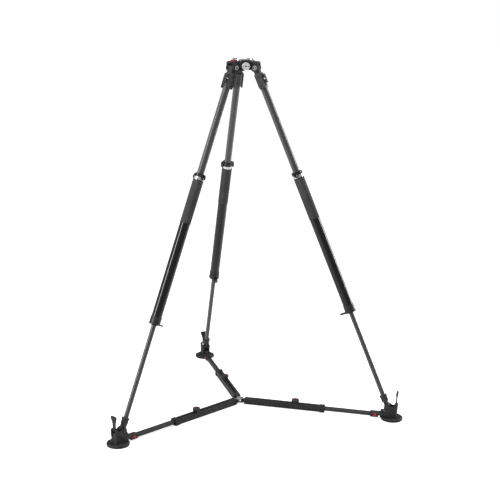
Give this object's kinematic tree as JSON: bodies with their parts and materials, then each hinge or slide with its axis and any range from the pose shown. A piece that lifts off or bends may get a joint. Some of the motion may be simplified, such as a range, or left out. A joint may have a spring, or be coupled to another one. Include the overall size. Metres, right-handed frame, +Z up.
{
  "type": "video tripod with ground spreader",
  "caption": "Tall video tripod: bowl crown, folding telescopic carbon legs with twist locks, rubber shoes and a sliding ground spreader.",
  "frame": {"origin": "centre of the bowl's rim, on the crown's centre line", "axes": "+Z up along the bowl axis; +Y towards the rear leg; the accessory socket faces -Y"},
  "size_m": [1.294, 1.1333, 1.54],
  "materials": {
    "cast_alloy": "satin",
    "yoke_alloy": "satin",
    "polished_alloy": "polished",
    "socket_alloy": "brushed",
    "pin_steel": "satin",
    "red_plastic": "satin",
    "carbon_satin": "satin",
    "carbon_gloss": "gloss",
    "carbon_thin": "satin",
    "grip_rubber": "matte",
    "lock_plastic": "semi-gloss",
    "collar_plastic": "satin",
    "foot_alloy": "satin",
    "shoe_rubber": "matte",
    "strap_rubber": "matte",
    "coupling_plastic": "satin",
    "rail_alloy": "anodised",
    "channel_alloy": "anodised",
    "knob_plastic": "satin",
    "screw_steel": "satin",
    "hub_alloy": "satin",
    "black_steel": "satin"
  },
  "bodies": {
    "crown": {"crown_casting": "cast_alloy", "bowl_ring": "polished_alloy", "accessory_socket": "socket_alloy", "crown_badge": "red_plastic", "hinge_pins": "pin_steel"},
    "rear_upper_leg": {"rear_leg_yoke": "yoke_alloy", "rear_upper_tube": "carbon_satin"},
    "rear_middle_leg": {"rear_mid_tube": "carbon_gloss", "rear_grip_sleeve": "grip_rubber", "rear_lock_seat": "polished_alloy", "rear_bottom_collar": "collar_plastic"},
    "rear_twist_lock": {"rear_lock_ring": "lock_plastic"},
    "rear_lower_leg": {"rear_lower_tube": "carbon_thin", "rear_foot_casting": "foot_alloy"},
    "rear_foot": {"rear_shoe": "shoe_rubber", "rear_coupling": "coupling_plastic", "rear_spreader_rail": "rail_alloy"},
    "rear_strap": {"rear_shoe_strap": "strap_rubber"},
    "rear_tab": {"rear_release_tab": "red_plastic"},
    "rear_clamp": {"rear_clamp_bolt": "screw_steel"},
    "rear_knob": {"rear_clamp_knob": "knob_plastic"},
    "rear_arm": {"rear_spreader_channel": "channel_alloy", "spreader_hub": "hub_alloy", "hub_screws": "black_steel"},
    "left_upper_leg": {"left_leg_yoke": "yoke_alloy", "left_upper_tube": "carbon_satin"},
    "left_middle_leg": {"left_mid_tube": "carbon_gloss", "left_grip_sleeve": "grip_rubber", "left_lock_seat": "polished_alloy", "left_bottom_collar": "collar_plastic"},
    "left_twist_lock": {"left_lock_ring": "lock_plastic"},
    "left_lower_leg": {"left_lower_tube": "carbon_thin", "left_foot_casting": "foot_alloy"},
    "left_foot": {"left_shoe": "shoe_rubber", "left_coupling": "coupling_plastic", "left_spreader_rail": "rail_alloy"},
    "left_strap": {"left_shoe_strap": "strap_rubber"},
    "left_tab": {"left_release_tab": "red_plastic"},
    "left_clamp": {"left_clamp_bolt": "screw_steel"},
    "left_knob": {"left_clamp_knob": "knob_plastic"},
    "left_arm": {"left_spreader_channel": "channel_alloy"},
    "right_upper_leg": {"right_leg_yoke": "yoke_alloy", "right_upper_tube": "carbon_satin"},
    "right_middle_leg": {"right_mid_tube": "carbon_gloss", "right_grip_sleeve": "grip_rubber", "right_lock_seat": "polished_alloy", "right_bottom_collar": "collar_plastic"},
    "right_twist_lock": {"right_lock_ring": "lock_plastic"},
    "right_lower_leg": {"right_lower_tube": "carbon_thin", "right_foot_casting": "foot_alloy"},
    "right_foot": {"right_shoe": "shoe_rubber", "right_coupling": "coupling_plastic", "right_spreader_rail": "rail_alloy"},
    "right_strap": {"right_shoe_strap": "strap_rubber"},
    "right_tab": {"right_release_tab": "red_plastic"},
    "right_clamp": {"right_clamp_bolt": "screw_steel"},
    "right_knob": {"right_clamp_knob": "knob_plastic"},
    "right_arm": {"right_spreader_channel": "channel_alloy"}
  },
  "joints": [
    {"name": "rear_leg_spread", "type": "hinge", "parent": "crown", "child": "rear_upper_leg", "pos_m": [0, 0.059, -0.04], "axis": [1, 0, 0], "range_deg": [-3.5, 1]},
    {"name": "rear_middle_slide", "type": "slide", "parent": "rear_upper_leg", "child": "rear_middle_leg", "axis": [0, -0.3907, 0.9205], "range_m": [0, 0.12], "stiffness_N_per_m": 4000},
    {"name": "rear_twist_lock_turn", "type": "hinge", "parent": "rear_middle_leg", "child": "rear_twist_lock", "pos_m": [0, 0.059, -0.04], "axis": [0, -0.3907, 0.9205], "range_deg": [0, 90]},
    {"name": "rear_lower_slide", "type": "slide", "parent": "rear_middle_leg", "child": "rear_lower_leg", "axis": [0, -0.3907, 0.9205], "range_m": [0, 0.12], "stiffness_N_per_m": 4000},
    {"name": "rear_ankle", "type": "hinge", "parent": "rear_lower_leg", "child": "rear_foot", "pos_m": [0, 0.67024, -1.48], "axis": [1, 0, 0], "range_deg": [-1, 3.5]},
    {"name": "rear_strap_pull", "type": "hinge", "parent": "rear_foot", "child": "rear_strap", "pos_m": [0, 0.70924, -1.474], "axis": [-1, 0, 0], "range_deg": [0, 60]},
    {"name": "rear_release_tab_push", "type": "slide", "parent": "rear_foot", "child": "rear_tab", "axis": [-1, 0, 0], "range_m": [-0.002, 0.002]},
    {"name": "rear_clamp_slide", "type": "slide", "parent": "rear_foot", "child": "rear_clamp", "axis": [0, 1, 0], "range_m": [0, 0.09379]},
    {"name": "rear_knob_turn", "type": "hinge", "parent": "rear_clamp", "child": "rear_knob", "pos_m": [0, 0.261, -1.5], "axis": [0, 0, 1], "range_deg": [0, 180]},
    {"name": "rear_arm_slide", "type": "slide", "parent": "rear_clamp", "child": "rear_arm", "axis": [0, 1, 0], "range_m": [-0.02514, 0.08797]},
    {"name": "left_leg_spread", "type": "hinge", "parent": "crown", "child": "left_upper_leg", "pos_m": [-0.0511, -0.0295, -0.04], "axis": [-0.5, 0.866, 0], "range_deg": [-3.5, 1]},
    {"name": "left_middle_slide", "type": "slide", "parent": "left_upper_leg", "child": "left_middle_leg", "axis": [0.3384, 0.1954, 0.9205], "range_m": [0, 0.12], "stiffness_N_per_m": 4000},
    {"name": "left_twist_lock_turn", "type": "hinge", "parent": "left_middle_leg", "child": "left_twist_lock", "pos_m": [-0.0511, -0.0295, -0.04], "axis": [0.3384, 0.1954, 0.9205], "range_deg": [0, 90]},
    {"name": "left_lower_slide", "type": "slide", "parent": "left_middle_leg", "child": "left_lower_leg", "axis": [0.3384, 0.1954, 0.9205], "range_m": [0, 0.12], "stiffness_N_per_m": 4000},
    {"name": "left_ankle", "type": "hinge", "parent": "left_lower_leg", "child": "left_foot", "pos_m": [-0.58045, -0.33512, -1.48], "axis": [-0.5, 0.866, 0], "range_deg": [-1, 3.5]},
    {"name": "left_strap_pull", "type": "hinge", "parent": "left_foot", "child": "left_strap", "pos_m": [-0.61422, -0.35462, -1.474], "axis": [0.5, -0.866, 0], "range_deg": [0, 60]},
    {"name": "left_release_tab_push", "type": "slide", "parent": "left_foot", "child": "left_tab", "axis": [0.5, -0.866, 0], "range_m": [-0.002, 0.002]},
    {"name": "left_clamp_slide", "type": "slide", "parent": "left_foot", "child": "left_clamp", "axis": [-0.866, -0.5, 0], "range_m": [0, 0.09379]},
    {"name": "left_knob_turn", "type": "hinge", "parent": "left_clamp", "child": "left_knob", "pos_m": [-0.22603, -0.1305, -1.5], "axis": [0, 0, 1], "range_deg": [0, 180]},
    {"name": "left_arm_slide", "type": "slide", "parent": "left_clamp", "child": "left_arm", "axis": [-0.866, -0.5, 0], "range_m": [-0.02514, 0.08797]},
    {"name": "right_leg_spread", "type": "hinge", "parent": "crown", "child": "right_upper_leg", "pos_m": [0.0511, -0.0295, -0.04], "axis": [-0.5, -0.866, 0], "range_deg": [-3.5, 1]},
    {"name": "right_middle_slide", "type": "slide", "parent": "right_upper_leg", "child": "right_middle_leg", "axis": [-0.3384, 0.1954, 0.9205], "range_m": [0, 0.12], "stiffness_N_per_m": 4000},
    {"name": "right_twist_lock_turn", "type": "hinge", "parent": "right_middle_leg", "child": "right_twist_lock", "pos_m": [0.0511, -0.0295, -0.04], "axis": [-0.3384, 0.1954, 0.9205], "range_deg": [0, 90]},
    {"name": "right_lower_slide", "type": "slide", "parent": "right_middle_leg", "child": "right_lower_leg", "axis": [-0.3384, 0.1954, 0.9205], "range_m": [0, 0.12], "stiffness_N_per_m": 4000},
    {"name": "right_ankle", "type": "hinge", "parent": "right_lower_leg", "child": "right_foot", "pos_m": [0.58045, -0.33512, -1.48], "axis": [-0.5, -0.866, 0], "range_deg": [-1, 3.5]},
    {"name": "right_strap_pull", "type": "hinge", "parent": "right_foot", "child": "right_strap", "pos_m": [0.61422, -0.35462, -1.474], "axis": [0.5, 0.866, 0], "range_deg": [0, 60]},
    {"name": "right_release_tab_push", "type": "slide", "parent": "right_foot", "child": "right_tab", "axis": [0.5, 0.866, 0], "range_m": [-0.002, 0.002]},
    {"name": "right_clamp_slide", "type": "slide", "parent": "right_foot", "child": "right_clamp", "axis": [0.866, -0.5, 0], "range_m": [0, 0.09379]},
    {"name": "right_knob_turn", "type": "hinge", "parent": "right_clamp", "child": "right_knob", "pos_m": [0.22603, -0.1305, -1.5], "axis": [0, 0, 1], "range_deg": [0, 180]},
    {"name": "right_arm_slide", "type": "slide", "parent": "right_clamp", "child": "right_arm", "axis": [0.866, -0.5, 0], "range_m": [-0.02514, 0.08797]}
  ],
  "couplings": [
    {"joint": "rear_lower_slide", "follows": "rear_middle_slide", "ratio": 1},
    {"joint": "rear_ankle", "follows": "rear_leg_spread", "ratio": -1},
    {"joint": "rear_clamp_slide", "follows": "rear_middle_slide", "ratio": 0.78146},
    {"joint": "rear_arm_slide", "follows": "rear_leg_spread", "m_per_rad": -1.44},
    {"joint": "left_leg_spread", "follows": "rear_leg_spread", "ratio": 1},
    {"joint": "left_middle_slide", "follows": "rear_middle_slide", "ratio": 1},
    {"joint": "left_lower_slide", "follows": "rear_middle_slide", "ratio": 1},
    {"joint": "left_ankle", "follows": "rear_leg_spread", "ratio": -1},
    {"joint": "left_clamp_slide", "follows": "rear_middle_slide", "ratio": 0.78146},
    {"joint": "left_arm_slide", "follows": "rear_leg_spread", "m_per_rad": -1.44},
    {"joint": "right_leg_spread", "follows": "rear_leg_spread", "ratio": 1},
    {"joint": "right_middle_slide", "follows": "rear_middle_slide", "ratio": 1},
    {"joint": "right_lower_slide", "follows": "rear_middle_slide", "ratio": 1},
    {"joint": "right_ankle", "follows": "rear_leg_spread", "ratio": -1},
    {"joint": "right_clamp_slide", "follows": "rear_middle_slide", "ratio": 0.78146},
    {"joint": "right_arm_slide", "follows": "rear_leg_spread", "m_per_rad": -1.44}
  ]
}
